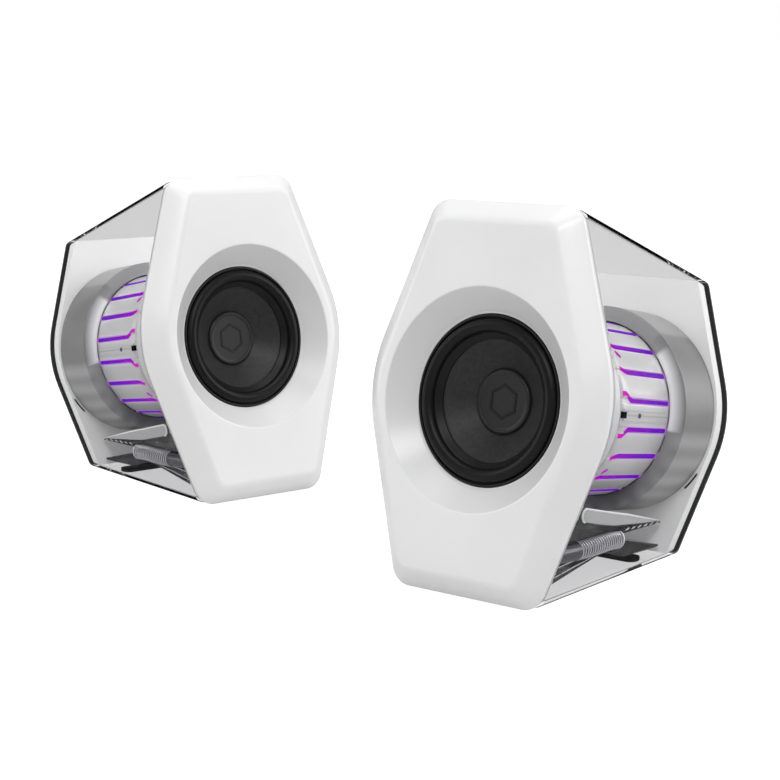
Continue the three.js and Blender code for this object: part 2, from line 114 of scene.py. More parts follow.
def new_object(name, data):
    """An object in the scene."""
    made = bpy.data.objects.new(name, data)
    bpy.context.scene.collection.objects.link(made)
    return made


# ---- camera, light and floor ----
def make_camera():
    data = bpy.data.cameras.new("camera")
    data.sensor_width = 36
    data.lens = 89.96
    camera = new_object("camera", data)
    camera.location = (0.0133, -0.7394, 0.1713)
    camera.rotation_euler = (math.radians(90 - 9.21), math.radians(-0.22), 0)
    bpy.context.scene.camera = camera


def area_light(name, place, target, size, power):
    data = bpy.data.lights.new(name, "AREA")
    data.shape = "RECTANGLE"
    data.size, data.size_y = size
    data.energy = power
    light = new_object(name, data)
    light.location = place
    light.rotation_euler = (Vector(target) - Vector(place)).to_track_quat("-Z", "Y").to_euler()
    light.visible_camera = False


def seen_directly(tree):
    """1 where a surface is seen straight or through clear walls, 0 by any bounced light."""
    path = tree.nodes.new("ShaderNodeLightPath")
    bounces = tree.nodes.new("ShaderNodeMath")
    bounces.operation = "ADD"
    tree.links.new(path.outputs["Diffuse Depth"], bounces.inputs[0])
    tree.links.new(path.outputs["Glossy Depth"], bounces.inputs[1])
    none_yet = tree.nodes.new("ShaderNodeMath")
    none_yet.operation = "LESS_THAN"
    tree.links.new(bounces.outputs["Value"], none_yet.inputs[0])
    none_yet.inputs[1].default_value = 0.5
    return none_yet.outputs["Value"]


def make_world():
    """A white backdrop round a dimmer room, so that the softboxes shape the object."""
    world = bpy.data.worlds.new("studio")
    world.use_nodes = True
    tree = world.node_tree
    background = tree.nodes["Background"]
    background.inputs["Color"].default_value = (1, 1, 1, 1)
    tree.links.new(spread(tree, seen_directly(tree), 0.41, 1.0), background.inputs["Strength"])
    bpy.context.scene.world = world


def floor_paper():
    """Pale paper that looks evenly lit and throws little light back up."""
    material, tree, shader = new_material("floor_paper")
    shade = tree.nodes.new("ShaderNodeMix")
    shade.data_type = "RGBA"
    shade.inputs["A"].default_value = (0.6, 0.6, 0.6, 1)
    shade.inputs["B"].default_value = (0.3, 0.3, 0.3, 1)
    tree.links.new(seen_directly(tree), shade.inputs["Factor"])
    tree.links.new(shade.outputs["Result"], shader.inputs["Base Color"])
    shader.inputs["Roughness"].default_value = 0.9
    shader.inputs["Specular IOR Level"].default_value = 0.0
    shader.inputs["Emission Color"].default_value = (1, 1, 1, 1)
    tree.links.new(spread(tree, seen_directly(tree), 0.12, 1.0), shader.inputs["Emission Strength"])
    return material


def make_studio():
    make_camera()
    make_world()
    area_light("front_softbox", (0.1, -1.3, 1.3), (0, 0, 0.06), (0.6, 0.6), 10.7)
    area_light("top_softbox", (0.05, 0.0, 1.3), (0, 0, 0.05), (1.1, 0.9), 9)
    area_light("left_softbox", (-1.3, 0.15, 0.5), (0, 0, 0.06), (0.7, 0.9), 4)
    area_light("right_softbox", (1.3, 0.15, 0.5), (0, 0, 0.06), (0.7, 0.9), 6.5)
    bpy.ops.mesh.primitive_plane_add(size=60)
    floor = bpy.context.object
    floor.name = "floor"
    floor.data.materials.append(floor_paper())
    bpy.context.scene.view_settings.view_transform = "Standard"


# ---- materials ----
def new_material(name):
    material = bpy.data.materials.new(name)
    material.use_nodes = True
    return material, material.node_tree, material.node_tree.nodes["Principled BSDF"]


def noise(tree, scale, detail=3):
    place = tree.nodes.new("ShaderNodeTexCoord")
    texture = tree.nodes.new("ShaderNodeTexNoise")
    texture.inputs["Scale"].default_value = scale
    texture.inputs["Detail"].default_value = detail
    tree.links.new(place.outputs["Object"], texture.inputs["Vector"])
    return texture.outputs["Fac"]


def spread(tree, value, low, high):
    mapped = tree.nodes.new("ShaderNodeMapRange")
    mapped.inputs["To Min"].default_value = low
    mapped.inputs["To Max"].default_value = high
    tree.links.new(value, mapped.inputs["Value"])
    return mapped.outputs["Result"]


def ramp(tree, value, stops):
    """A colour picked by a value, from stops of (position, colour)."""
    node = tree.nodes.new("ShaderNodeValToRGB")
    while len(node.color_ramp.elements) < len(stops):
        node.color_ramp.elements.new(1.0)
    for element, (position, colour) in zip(node.color_ramp.elements, stops):
        element.position = position
        element.color = (*colour, 1)
    tree.links.new(value, node.inputs["Fac"])
    return node.outputs["Color"]


def tinted(tree, value, dark, light):
    return ramp(tree, value, [(0.3, dark), (0.7, light)])


def bump(tree, shader, height, depth, strength=1.0):
    node = tree.nodes.new("ShaderNodeBump")
    node.inputs["Distance"].default_value = depth
    node.inputs["Strength"].default_value = strength
    tree.links.new(height, node.inputs["Height"])
    tree.links.new(node.outputs["Normal"], shader.inputs["Normal"])


def plastic(name, colour, roughness, grain=0.02 * MM, scale=1800, coat=0.0, metallic=0.0, shine=0.5):
    """Moulded plastic, rubber or satin metal with a slight grain and uneven gloss."""
    material, tree, shader = new_material(name)
    shade = [c * 0.95 for c in colour]
    tree.links.new(tinted(tree, noise(tree, 24), shade, colour), shader.inputs["Base Color"])
    gloss = spread(tree, noise(tree, 90), roughness * 0.88, roughness * 1.12)
    tree.links.new(gloss, shader.inputs["Roughness"])
    shader.inputs["Metallic"].default_value = metallic
    shader.inputs["Specular IOR Level"].default_value = shine
    shader.inputs["Coat Weight"].default_value = coat
    shader.inputs["Coat Roughness"].default_value = 0.12
    if grain:
        bump(tree, shader, noise(tree, scale, 2), grain, 0.5)
    return material


def clear(name, stops, ior, coat=0.0):
    """Clear acrylic with painted shade: its colour darkens by stops of (how grazing it is seen, shade)."""
    material, tree, shader = new_material(name)
    shader.inputs["Transmission Weight"].default_value = 1.0
    shader.inputs["IOR"].default_value = ior
    shader.inputs["Coat Weight"].default_value = coat
    shader.inputs["Coat Roughness"].default_value = 0.03
    tree.links.new(spread(tree, noise(tree, 60), 0.0, 0.015), shader.inputs["Roughness"])
    facing = tree.nodes.new("ShaderNodeLayerWeight")
    facing.inputs["Blend"].default_value = 0.5
    # A slight cool tint times the painted shade of each stop.
    cool_painted_shade = [(position, (shade * 0.995, shade * 0.995, shade)) for position, shade in stops]
    tree.links.new(ramp(tree, facing.outputs["Facing"], cool_painted_shade), shader.inputs["Base Color"])
    return material


def attribute(tree, name):
    node = tree.nodes.new("ShaderNodeAttribute")
    node.attribute_name = name
    return node.outputs["Fac"]


def light_bar(name):
    """A lit bar: magenta at its front end and violet towards the rear."""
    material, tree, shader = new_material(name)
    stops = [(0.05, (0.75, 0.01, 0.56)), (0.2, (0.3, 0.003, 0.58)), (0.8, (0.16, 0.003, 0.58))]
    tree.links.new(ramp(tree, attribute(tree, "along"), stops), shader.inputs["Emission Color"])
    shader.inputs["Emission Strength"].default_value = 0.9
    shader.inputs["Base Color"].default_value = (0.01, 0.0, 0.02, 1)
    shader.inputs["Roughness"].default_value = 0.4
    shader.inputs["Specular IOR Level"].default_value = 0.05
    return material


def frosted_sleeve(name):
    """Frosted white plastic that glows pink and lilac beside the bars."""
    material, tree, shader = new_material(name)
    shader.inputs["Roughness"].default_value = 0.28
    shader.inputs["Coat Weight"].default_value = 0.3
    base = tinted(tree, noise(tree, 60), (0.5, 0.5, 0.505), (0.56, 0.56, 0.565))
    tree.links.new(base, shader.inputs["Base Color"])
    lilac = ramp(tree, attribute(tree, "glow"), [(0, (0, 0, 0)), (1, (0.75, 0.4, 0.85))])
    tree.links.new(lilac, shader.inputs["Emission Color"])
    shader.inputs["Emission Strength"].default_value = 0.6
    return material


def ring_metal_painted_reflection(name):
    """Satin metal whose colour is a painted reflection: the shell's facets as light and dark sectors on the
    ring.
    """
    material, tree, shader = new_material(name)
    tree.links.new(attribute(tree, "painted_reflection_tone"), shader.inputs["Base Color"])
    tree.links.new(spread(tree, noise(tree, 90), 0.3, 0.36), shader.inputs["Roughness"])
    shader.inputs["Metallic"].default_value = 0.3
    return material


def cone_paper(name):
    """Coated pulp: fine fibres under a dull coat."""
    material, tree, shader = new_material(name)
    colour = tinted(tree, noise(tree, 700, 6), (0.014, 0.014, 0.015), (0.024, 0.024, 0.025))
    tree.links.new(colour, shader.inputs["Base Color"])
    shader.inputs["Roughness"].default_value = 0.45
    shader.inputs["Specular IOR Level"].default_value = 0.28
    bump(tree, shader, noise(tree, 2400, 8), 0.05 * MM, 0.6)
    return material


# Stops of (how grazing, shade): painted shade and streaks that stand for what light does inside a thick
# clear wall; the smoked stops also hold the plastic's own dark tint.
CORNER_PAINTED_STREAKS = [(0.4, 0.95), (0.47, 0.9), (0.52, 0.4), (0.58, 0.8), (0.72, 0.7), (0.8, 0.22), (1, 0.1)]
RIM_PAINTED_SHADE = [(0.2, 0.0004), (0.42, 0.0004), (0.46, 0.12), (0.5, 0.0004), (1, 0)]
WALL_PAINTED_SHADE = [(0.3, 0.995), (0.5, 0.97), (0.7, 0.77), (0.8, 0.66), (0.93, 0.53), (1, 0.45)]
COVER_PAINTED_SHADE = [(0.5, 0.8), (0.7, 0.64), (0.9, 0.55), (1, 0.5)]
SMOKED_TINT_AND_SHADE = [(0.2, 0.13), (0.9, 0.03)]


def make_materials():
    return {
        "white": plastic("white_abs", (0.78, 0.78, 0.785), 0.36, coat=0.15),
        # The white plastic in a darker, slightly glossier copy for the dish: painted shade of its recess.
        "dish": plastic("dish_painted_shade", (0.65, 0.65, 0.655), 0.3),
        "pale": plastic("pale_abs", (0.62, 0.62, 0.63), 0.42),
        # The white plastic brightened for the rear panel: painted light, making up for the light it gets
        # behind the shell.
        "panel": plastic("panel_abs_painted_light", (0.92, 0.92, 0.92), 0.4),
        "leaf": plastic("pale_leaf", (0.42, 0.42, 0.425), 0.2, coat=0.4),
        "seal": plastic("grey_seal", (0.42, 0.42, 0.425), 0.6),
        "rubber": plastic("foot_rubber", (0.03, 0.03, 0.032), 0.75, grain=0.05 * MM),
        "roll": plastic("roll_rubber", (0.005, 0.005, 0.0055), 0.4, grain=0.01 * MM, shine=0.18),
        "black": plastic("black_abs", (0.004, 0.004, 0.0045), 0.4, shine=0.3),
        "dark": plastic("dark_abs", (0.05, 0.05, 0.052), 0.45),
        "cap": plastic("cap_abs", (0.018, 0.018, 0.019), 0.36, shine=0.3),
        # The ring's metal, coloured by its painted reflection.
        "silver": ring_metal_painted_reflection("satin_silver"),
        "tube": plastic("dark_tube", (0.03, 0.027, 0.038), 0.22, grain=0, coat=0.3),
        "chrome": plastic("bright_ribs", (0.65, 0.65, 0.68), 0.2, grain=0, metallic=0.5),
        "steel": plastic("plated_steel", (0.55, 0.55, 0.57), 0.35, metallic=1.0),
        "basket": plastic("basket_paint", (0.03, 0.03, 0.032), 0.5),
        "ferrite": plastic("ferrite_block", (0.04, 0.04, 0.042), 0.8, grain=0.05 * MM),
        "copper": plastic("coil_wire", (0.7, 0.33, 0.14), 0.35, metallic=1.0),
        "cloth": plastic("spider_cloth", (0.5, 0.33, 0.12), 0.9, grain=0.2 * MM, scale=900),
        "board": plastic("solder_mask", (0.02, 0.13, 0.06), 0.4),
        # Near-black for the seam's small window, which is black itself; also the painted shade in the ring's
        # slots.
        "window": plastic("black_window_and_slot_shade", (0.0012, 0.0012, 0.0014), 0.6, shine=0.05),
        "navy": plastic("navy_mark", (0.02, 0.015, 0.12), 0.4),
        "paper": cone_paper("cone_pulp"),
        "clear": clear("clear_acrylic", WALL_PAINTED_SHADE, 1.02),
        "corner": clear("clear_acrylic_corner", CORNER_PAINTED_STREAKS, 1.02),
        "rim": clear("clear_acrylic_rim", RIM_PAINTED_SHADE, 1.02),
        "cover": clear("clear_acrylic_cover", COVER_PAINTED_SHADE, 1.02),
        "smoked": clear("smoked_acrylic", SMOKED_TINT_AND_SHADE, 1.04, 0.4),
        "bar": light_bar("lit_bar"),
        "sleeve": frosted_sleeve("frosted_sleeve"),
    }


# ---- outlines and rings ----
def move_in(corners, distance):
    """Moves every edge of a convex outline towards its middle."""
    moved = []
    for i, corner in enumerate(corners):
        normals = []
        for a, b in ((corners[i - 1], corner), (corner, corners[(i + 1) % len(corners)])):
            along = (b - a) / np.linalg.norm(b - a)
            normal = np.array([-along[1], along[0]])
            normals.append(-normal if normal @ a > 0 else normal)
        share = distance / (1 + normals[0] @ normals[1])
        moved.append(corner + share * (normals[0] + normals[1]))
    return moved


def rounded(corners, radii):
    """An outline with an arc at each corner and evenly spaced points between the arcs."""
    points = []
    for i, corner in enumerate(corners):
        back = corners[i - 1] - corner
        ahead = corners[(i + 1) % len(corners)] - corner
        back, ahead = back / np.linalg.norm(back), ahead / np.linalg.norm(ahead)
        half = math.acos(np.clip(back @ ahead, -1, 1)) / 2
        middle = back + ahead
        centre = corner + middle / np.linalg.norm(middle) * radii[i] / math.sin(half)
        start = corner + back * radii[i] / math.tan(half) - centre
        end = corner + ahead * radii[i] / math.tan(half) - centre
        sweep = math.atan2(start[0] * end[1] - start[1] * end[0], start @ end)
        for k in range(ARC + 1):
            angle = sweep * k / ARC
            c, s = math.cos(angle), math.sin(angle)
            points.append(centre + np.array([c * start[0] - s * start[1], s * start[0] + c * start[1]]))
    full = []
    for i, point in enumerate(points):
        full.append(point)
        following = points[(i + 1) % len(points)]
        if i % (ARC + 1) == ARC:
            full += [point + (following - point) * k / EDGE for k in range(1, EDGE)]
    return np.array(full)


def hexagon(size, inset, corner, mid):
    top, middle, height, rise = size
    corners = [
        (top, height), (middle, rise), (top, -height), (-top, -height), (-middle, rise), (-top, height),
    ]
    corner, mid = max(corner - inset, 1.5 * MM), mid - inset
    moved = move_in([np.array(c) for c in corners], inset)
    return rounded(moved, [corner, mid, corner, corner, mid, corner])


def at_depth(outline, depth):
    return np.column_stack([outline[:, 0], np.full(len(outline), depth), outline[:, 1]])


def body_ring(depth, inset, corner=8):
    """The hexagon of the tapered body at a depth, moved in by a distance."""
    t = depth / BODY_DEPTH
    size = FRONT + (REAR - FRONT) * t
    tight = corner + (3 - corner) * t
    return at_depth(hexagon(size, inset, tight * MM, (50 - 7 * t) * MM), depth)


def face_ring(depth, inset):
    return at_depth(hexagon(FACE, inset, 4.5 * MM, 32 * MM), depth)


def circle_like(ring, radius, depth):
    """A circle whose points stand at the same angles as the ring's."""
    angle = np.arctan2(ring[:, 2], ring[:, 0])
    return np.column_stack([radius * np.cos(angle), np.full(len(ring), depth), radius * np.sin(angle)])


def softened(path, trims, steps=5, closed=True):
    """Rounds the turns of a path of rings or points, cutting each turn back by its trim."""
    path = [np.asarray(p, float) for p in path]
    out = []
    for i, here in enumerate(path):
        end_point = not closed and i in (0, len(path) - 1)
        if end_point or not trims[i]:
            out.append(here)
            continue
        sides = []
        for other in (path[i - 1], path[(i + 1) % len(path)]):
            step = other - here
            length = np.linalg.norm(step, axis=-1, keepdims=True)
            sides.append(here + step * np.minimum(trims[i] / np.maximum(length, 1e-9), 0.49))
        for k in range(steps + 1):
            s = k / steps
            out.append((1 - s) ** 2 * sides[0] + 2 * s * (1 - s) * here + s * s * sides[1])
    return out


def smooth_curve(stops, steps):
    """A smooth curve through stops, with a number of steps between each two."""
    padded = np.vstack([2 * stops[0] - stops[1], stops, 2 * stops[-1] - stops[-2]])
    points = []
    for a, b, c, d in zip(padded, padded[1:], padded[2:], padded[3:]):
        bend = 2 * a - 5 * b + 4 * c - d
        twist = 3 * b - a - 3 * c + d
        for t in np.linspace(0, 1, steps, endpoint=False):
            points.append(0.5 * (2 * b + (c - a) * t + bend * t * t + twist * t ** 3))
    return np.array([*points, stops[-1]])


# ---- meshes ----
def mesh_from(vertices, faces, name="piece"):
    mesh = bpy.data.meshes.new(name)
    mesh.from_pydata([tuple(v) for v in vertices], [], faces)
    tidy = bmesh.new()
    tidy.from_mesh(mesh)
    bmesh.ops.remove_doubles(tidy, verts=tidy.verts, dist=1e-7)
    bmesh.ops.recalc_face_normals(tidy, faces=tidy.faces)
    tidy.to_mesh(mesh)
    tidy.free()
    return mesh


def skin(rings, closed=True, caps=False):
    """A mesh through rings of equal length; closed joins the last ring to the first."""
    count = len(rings[0])
    spans = len(rings) if closed else len(rings) - 1
    faces = []
    for r in range(spans):
        a, b = r * count, ((r + 1) % len(rings)) * count
        for i in range(count):
            j = (i + 1) % count
            faces.append((a + i, a + j, b + j, b + i))
    if caps:
        faces.append(tuple(range(count)))
        faces.append(tuple(range((len(rings) - 1) * count, len(rings) * count)))
    return mesh_from(np.vstack(rings), faces)


def capped(rings):
    """A solid through rings, with a flat face at each end."""
    return skin(rings, closed=False, caps=True)


def round_angles(count):
    return np.linspace(0, 2 * math.pi, count, endpoint=False)


def turned(profile, segments=ROUND, closed=True):
    """A body turned about the y axis from (radius, depth) points."""
    angles = round_angles(segments)
    rings = [
        np.column_stack([r * np.cos(angles), np.full(segments, y), r * np.sin(angles)])
        for r, y in profile
    ]
    return skin(rings, closed=closed)


def turned_mm(corners, trims, segments=ROUND, closed=True, steps=4):
    """turned() for corners and trims given in millimetres."""
    trims = trims if isinstance(trims, (list, tuple)) else [trims] * len(corners)
    path = softened([np.array(c) * MM for c in corners], [t * MM for t in trims], steps, closed)
    return turned(path, segments, closed)


def swept(path, radii, segments=24, square_to=(0, 0, 1.0)):
    """A tube with its own radius at each point of a path that never runs along square_to."""
    path = np.array(path)
    along = np.gradient(path, axis=0)
    along /= np.linalg.norm(along, axis=1, keepdims=True)
    side = np.cross(along, square_to)
    side /= np.linalg.norm(side, axis=1, keepdims=True)
    over = np.cross(side, along)
    angles = round_angles(segments)
    rings = [
        p + r * (np.outer(np.cos(angles), s) + np.outer(np.sin(angles), o))
        for p, r, s, o in zip(path, radii, side, over)
    ]
    return capped(rings)


def moved(mesh, x=0, y=0, z=0):
    mesh.transform(Matrix.Translation((x, y, z)))
    return mesh


def joined(meshes):
    """One mesh from several, each keeping its place in the list as its material number."""
    whole = bmesh.new()
    for number, mesh in enumerate(meshes):
        known = len(whole.faces)
        whole.from_mesh(mesh)
        whole.faces.ensure_lookup_table()
        for face in whole.faces[known:]:
            face.material_index = number
    mesh = bpy.data.meshes.new("piece")
    whole.to_mesh(mesh)
    whole.free()
    return mesh


def joined_same(meshes):
    """One mesh from several that share a material."""
    whole = joined(meshes)
    whole.polygons.foreach_set("material_index", [0] * len(whole.polygons))
    return whole


def with_values(mesh, name, values):
    """The mesh with a value at every point, for a material to read."""
    layer = mesh.attributes.new(name, "FLOAT", "POINT")
    layer.data.foreach_set("value", np.array(values, np.float32))
    return mesh


def cut(mesh, cutters):
    """The mesh with the cutters' bodies taken away."""
    body = new_object("body", mesh)
    tools = []
    for cutter in cutters:
        tool = new_object("cutter", cutter)
        step = body.modifiers.new("cut", "BOOLEAN")
        step.operation = "DIFFERENCE"
        step.solver = "EXACT"
        step.object = tool
        tools.append(tool)
    graph = bpy.context.evaluated_depsgraph_get()
    result = bpy.data.meshes.new_from_object(body.evaluated_get(graph))
    for used in (body, *tools):
        bpy.data.objects.remove(used)
    return result


# ---- placing pieces ----
def axis_frame(name):
    """The matrix from a speaker's axis frame to the row's frame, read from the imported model."""
    joint = next(j for j in frame["joints"] if j["name"] == f"{name}_cone_travel")
    rearward = -Vector(joint["axis"]).normalized()
    right = rearward.cross(Vector((0, 0, 1))).normalized()
    up = right.cross(rearward)
    low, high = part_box(f"{name}_driver_trim_ring")
    origin = (low + high) / 2 - rearward * TRIM_MIDDLE
    return Matrix.Translation(origin) @ Matrix((right, rearward, up)).transposed().to_4x4()


FRAMES = {name: axis_frame(name) for name in SIDES}


def place(name, mesh, materials, body, matrix, replaces=(), slot=None, crease=40):
    """Makes a piece from a mesh, puts it in its place and lets it ride on its body."""
    mesh.name = name
    mesh.transform(matrix)
    for material in materials:
        mesh.materials.append(material)
    mesh.shade_smooth()
    mesh.set_sharp_from_angle(angle=math.radians(crease))
    piece = new_object(name, mesh)
    weighted = piece.modifiers.new("weighted_normals", "WEIGHTED_NORMAL")
    weighted.keep_sharp = True
    if body:
        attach(piece, body)
    if replaces:
        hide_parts(*replaces)
    return piece


# ---- enclosure ----
def baffle_mesh():
    """Side wall, chamfered edge, flat face and dish, closed by a flat back."""
    outline = face_ring(-FACE_FORWARD, 0)
    edge = body_ring(0, 0)
    belly = (edge + outline) / 2
    belly[:, 1] -= 0.35 * MM
    path = [
        circle_like(outline, DRIVER_HOLE, BAFFLE_BACK - 0.2 * MM),
        body_ring(BAFFLE_BACK, SHELL_INSET),
        edge,
        belly,
        outline,
        circle_like(outline, DISH_RADIUS, -FACE_FORWARD),
        circle_like(outline, DRIVER_HOLE + 0.7 * MM, DISH_FLOOR - 0.15 * MM),
        circle_like(outline, DRIVER_HOLE, DISH_FLOOR + 0.1 * MM),
    ]
    mesh = skin(softened(path, [0, 0.4 * MM, 1.0 * MM, 4 * MM, 1.6 * MM, 0.5 * MM, 0.4 * MM, 0.2 * MM]))
    # The dish's wall takes the darker copy of the white plastic: painted shade of the recess.
    for face in mesh.polygons:
        centre = face.center
        in_dish = math.hypot(centre.x, centre.z) < DISH_RADIUS and centre.y > 0.1 * MM - FACE_FORWARD
        face.material_index = int(in_dish and centre.y < DISH_FLOOR + 0.2 * MM)
    return mesh


def shell_ring(depth, inset):
    return body_ring(depth, inset, corner=SHELL_CORNER)


def shell_meshes():
    """The clear side walls, their four tight corners, the rim painted dark as shade, and the two covers."""
    wall = SHELL_INSET + SHELL_WALL
    bend = 2.4 * MM
    straight = BODY_DEPTH - bend
    outer_rim = [
        shell_ring(straight + bend * math.sin(a), SHELL_INSET + 1.6 * MM * (1 - math.cos(a)))
        for a in np.linspace(0, math.pi / 2, 9)
    ]
    lip = wall + SHELL_LIP
    inner = [
        shell_ring(BODY_DEPTH, lip), shell_ring(PANEL_STEP + 0.3 * MM, lip), shell_ring(PANEL_STEP, wall),
    ]
    rings = [shell_ring(SHELL_FRONT, SHELL_INSET), shell_ring(PANEL_FRONT, SHELL_INSET), *outer_rim]
    rings += softened(inner, [0.5 * MM, 0.4 * MM, 0], closed=False, steps=3)
    rings += [shell_ring(PANEL_FRONT, wall), shell_ring(SHELL_FRONT, wall)]
    mesh = skin(rings)
    # Each face gets its painted shade by where it is: the rim, the near-flat covers, the tight corners or
    # the plain walls.
    for face in mesh.polygons:
        depth = face.center.y
        tilt = math.degrees(math.atan2(abs(face.normal.z), abs(face.normal.x)))
        if depth > straight + 1.0 * MM:
            face.material_index = 2
        elif tilt > 87:
            face.material_index = 3
        else:
            face.material_index = int(tilt > 23)
    return mesh


def seal_mesh():
    near, far = BAFFLE_BACK + 0.05 * MM, SHELL_FRONT - 0.05 * MM
    outer, inner = SHELL_INSET + 0.1 * MM, SHELL_INSET + 2.4 * MM
    section = ((near, outer), (far, outer), (far, inner), (near, inner))
    return skin([body_ring(depth, inset) for depth, inset in section])


# Places in the rear panel, in millimetres: x, z and radius, or width and height.
PORTS = {
    "knob": (0, 12, 4), "light": (-20, 12, 3.2), "source": (20, 12, 3.2),
    "power": (-21, -11, 5.2), "aux": (-7.5, -11, 3.6), "link": (21, -11, 5.2),
}
USB = (6.5, -11, 14.4, 7.2)
SCREWS = [(-17, 36), (17, 36), (-17, -36), (17, -36)]


def rod(radius, near, far, x, z, segments=48):
    """A plain round bar along y, in millimetres."""
    mesh = turned_mm([(0, near), (radius, near), (radius, far), (0, far)], 0, segments, closed=False)
    return moved(mesh, x * MM, 0, z * MM)


def block(width, near, far, height, x, z):
    """A plain box, in millimetres, from depth near to depth far."""
    w, h = width / 2, height / 2
    outline = np.array([(w, h), (w, -h), (-w, -h), (-w, h)]) * MM + np.array([x, z]) * MM
    return capped([at_depth(outline, near * MM), at_depth(outline, far * MM)])


def panel_mesh(ports, with_usb):
    seated = SHELL_INSET + SHELL_WALL + 0.3 * MM
    raised = seated + SHELL_LIP
    path = [
        body_ring(PANEL_FRONT, seated), body_ring(PANEL_STEP, seated),
        body_ring(PANEL_STEP + 0.1 * MM, raised), body_ring(PANEL_BACK, raised),
        body_ring(PANEL_BACK, raised + 1.2 * MM),
    ]
    mesh = capped(softened(path, [0, 0.3 * MM, 0, 1.1 * MM, 0], closed=False))
    cutters = [rod(r + 0.05, 80, 100, x, z) for x, z, r in (PORTS[p] for p in ports)]
    cutters += [rod(2.7, PANEL_BACK / MM - 1.5, 100, x, z) for x, z in SCREWS]
    if with_usb:
        x, z, width, height = USB
        cutters.append(block(width, 80, 100, height, x, z))
    return cut(mesh, cutters)


def screw_meshes():
    """Four cross-head screws, sunk into the rear panel."""
    heads = []
    near = PANEL_BACK / MM - 1.4
    profile = [(0, near), (2.4, near), (2.4, near + 0.9), (0, near + 1.5)]
    for x, z in SCREWS:
        head = turned_mm(profile, [0, 0, 0.6, 0], 40, closed=False)
        slots = [block(w, near + 0.5, near + 3, h, 0, 0) for w, h in ((2.6, 0.6), (0.6, 2.6))]
        heads.append(moved(cut(head, slots), x * MM, 0, z * MM))
    return joined_same(heads)


# ---- driver ----
ROLL_MIDDLE = (ROLL_OUTER + ROLL_INNER) / 2
ROLL_REACH = ROLL_OUTER - ROLL_MIDDLE
ROLL_FLAT = 1.8 * MM


def roll_profile(inner_side):
    """Half of the rubber roll, from its crest outwards or inwards, as (radius, depth) in metres."""
    side = -1 if inner_side else 1
    angles = np.linspace(0, math.pi / 2, 13)
    arc = [
        (ROLL_MIDDLE + side * ROLL_REACH * math.sin(a), ROLL_FLAT - ROLL_REACH * math.cos(a))
        for a in angles
    ]
    if inner_side:
        foot = [(ROLL_INNER - 0.25 * MM, ROLL_FLAT + 0.3 * MM), (CONE_RADIUS - 0.6 * MM, 3.6 * MM)]
    else:
        foot = [(ROLL_OUTER + 0.25 * MM, ROLL_FLAT), (DRIVER_HOLE - 0.4 * MM, ROLL_FLAT)]
    front = arc[:-1] + softened([arc[-1], *foot], [0, 0.2 * MM, 0], closed=False)
    back = [(r, y + 0.45 * MM) for r, y in reversed(front)]
    return front + back


def cone_mesh():
    mesh = turned_mm(
        [(21.3, 2.4), (20.4, 2.7), (15, 6.4), (10.2, 9.6), (10.2, 10.4), (15, 7.3), (21.3, 3.3)],
        [0.2, 0.6, 3, 0.4, 0.2, 3, 0.2],
    )
    return moved(mesh, 0, CONE_SET, 0)


def spider_mesh():
    """A corrugated cloth disc, dished from its inner edge to its outer edge."""
    share = np.linspace(0, 1, 61)
    radius = 10.5 + 13.2 * share
    dished = SPIDER_INNER - (SPIDER_INNER - SPIDER_OUTER) * share
    depth = dished / MM + 0.1 * np.sin(6 * math.pi * share)
    front = list(zip(radius, depth))
    return turned_mm(front + [(r, d + 0.35) for r, d in reversed(front)], 0, segments=96)


def cap_meshes():
    """A shallow cap with a raised rim and a sunken hexagon line in its middle."""
    cap = turned_mm(
        [(0, 8.4), (9.3, 8.3), (9.9, 7.9), (10.7, 8.1), (11.1, 9.4), (10.3, 9.9), (0, 9.2)],
        [0, 0.5, 0.3, 0.5, 0.3, 0.3, 0],
        closed=False,
    )
    angles = np.arange(6) * math.pi / 3 + math.pi / 6
    outline = np.column_stack([np.cos(angles), np.sin(angles)]) * MM
    section = ((0.5, 8.6), (0.5, 8.15), (-0.5, 8.15), (-0.5, 8.6))
    line = skin([at_depth(outline * (5.6 + out), depth * MM) for out, depth in section])
    return moved(joined([cap, line]), 0, CONE_SET, 0)


# ---- drum ----
def sleeve_scale(depth):
    """How much the sleeve has tapered at a depth."""
    share = (depth - DRUM_FRONT) / (SLEEVE_BACK - DRUM_FRONT)
    return SLEEVE_TAPER[0] + (SLEEVE_TAPER[1] - SLEEVE_TAPER[0]) * share


def polar(angle, radius, depth):
    """A point on the tapered sleeve, for the radius that it would have without the taper."""
    reach = radius * sleeve_scale(depth)
    return np.array([reach * math.cos(angle), depth, reach * math.sin(angle)])


def bar_angles():
    return [(i + 0.5) * 2 * math.pi / BARS for i in range(BARS)]


def bar_bend(middle):
    """Which way a bar's front end bends round the drum: away from the seam at mid height."""
    return 1 if math.sin(2 * middle) > 0 else -1


def ribbon(rows, rise=0.12):
    """A strip on the drum, slightly proud of it, through rows of (depth, angle, half width)."""
    low, high = DRUM_RADIUS - 0.6 * MM, DRUM_RADIUS + rise * MM
    rings = []
    for depth, angle, half in rows:
        reach = half / DRUM_RADIUS
        rings.append(np.array([
            polar(angle - reach, low, depth), polar(angle - reach * 0.9, high, depth),
            polar(angle + reach * 0.9, high, depth), polar(angle + reach, low, depth),
        ]))
    return capped(rings)


def ease(t):
    t = min(max(t, 0), 1)
    return t * t * (3 - 2 * t)


